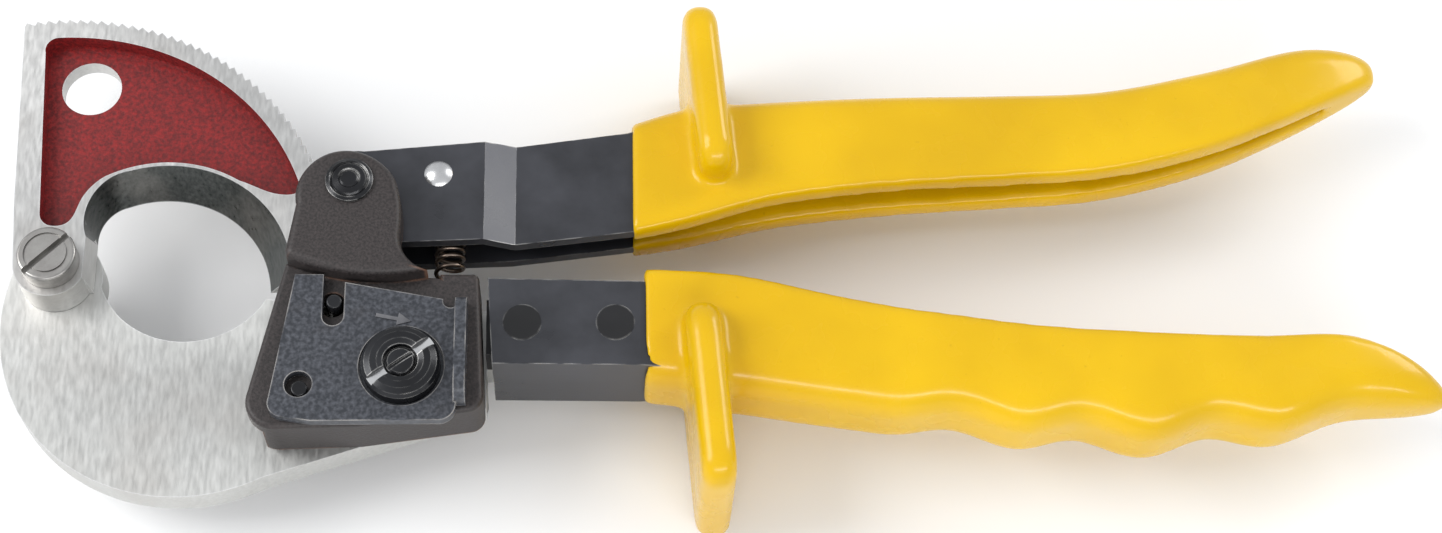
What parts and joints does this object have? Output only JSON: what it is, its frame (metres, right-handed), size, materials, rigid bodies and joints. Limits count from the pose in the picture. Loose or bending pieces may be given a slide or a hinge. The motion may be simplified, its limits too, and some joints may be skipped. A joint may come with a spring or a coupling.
{
  "type": "ratcheting cable cutter",
  "caption": "Ratcheting cable cutter: toothed hook blade over a fixed hook blade, cast housing with release lever, channel handles with dipped grips and hand guards.",
  "frame": {"origin": "centre of the bounding box in plan, on the plane the tool lies on (its hand guards touch it)", "axes": "+X from the jaws to the handle ends, +Y from the fixed handle to the moving handle, +Z out of the front face with the release knob"},
  "size_m": [0.256, 0.0932, 0.0344],
  "materials": {
    "ground_steel": "satin ground",
    "bolt_steel": "turned",
    "cast_black": "fine sand texture",
    "black_oxide": "black oxide, semi gloss",
    "slate_sheet": "semi gloss",
    "spring_wire": "oiled wire",
    "blued_sheet": "blued satin",
    "yellow_dip": "glossy dipped vinyl",
    "bright_pin": "bright"
  },
  "bodies": {
    "frame_body": {"fixed_blade": "ground_steel", "blade_bolt": "bolt_steel", "bolt_washer": "bolt_steel", "blade_nut": "bolt_steel", "front_housing": "cast_black", "rear_housing": "cast_black", "housing_screws": "black_oxide", "handle_pivot_pin": "black_oxide", "knob_screw": "black_oxide", "holding_pawl_pin": "black_oxide", "holding_pawl_spring": "spring_wire", "return_spring": "spring_wire", "fixed_handle": "blued_sheet", "tang_spacer": "bolt_steel", "handle_rivets": "blued_sheet", "fixed_grip": "yellow_dip"},
    "blade": {"moving_blade": "ground_steel"},
    "handle": {"moving_handle": "blued_sheet", "moving_grip": "yellow_dip", "drive_pawl_pin": "bright_pin", "drive_pawl_spring": "spring_wire", "spring_seat": "blued_sheet"},
    "drive": {"drive_pawl": "bolt_steel"},
    "release": {"release_plate": "slate_sheet", "release_knob": "black_oxide"},
    "hold": {"holding_pawl": "bolt_steel", "follower_pin": "black_oxide"}
  },
  "joints": [
    {"name": "blade_swing", "type": "hinge", "parent": "frame_body", "child": "blade", "pos_m": [-0.11877, -0.00235, 0.021], "axis": [0, 0, -1], "range_deg": [-45, 72]},
    {"name": "handle_squeeze", "type": "hinge", "parent": "frame_body", "child": "handle", "pos_m": [-0.06657, 0.00975, 0.021], "axis": [0, 0, -1], "range_deg": [0, 8], "stiffness_Nm_per_rad": 2, "springref_deg": -8.59, "deforming": ["return_spring"]},
    {"name": "drive_pawl_turn", "type": "hinge", "parent": "handle", "child": "drive", "pos_m": [-0.05147, 0.01385, 0.021], "axis": [0, 0, 1], "range_deg": [0, 7]},
    {"name": "release_swing", "type": "hinge", "parent": "frame_body", "child": "release", "pos_m": [-0.05657, -0.02435, 0.029], "axis": [0, 0, -1], "range_deg": [-5, 0]},
    {"name": "holding_pawl_turn", "type": "hinge", "parent": "frame_body", "child": "hold", "pos_m": [-0.07367, -0.02845, 0.021], "axis": [0, 0, 1], "range_deg": [0, 3.6]}
  ],
  "couplings": [
    {"joint": "drive_pawl_turn", "follows": "handle_squeeze", "ratio": 0.78},
    {"joint": "holding_pawl_turn", "follows": "release_swing", "ratio": -0.7}
  ]
}
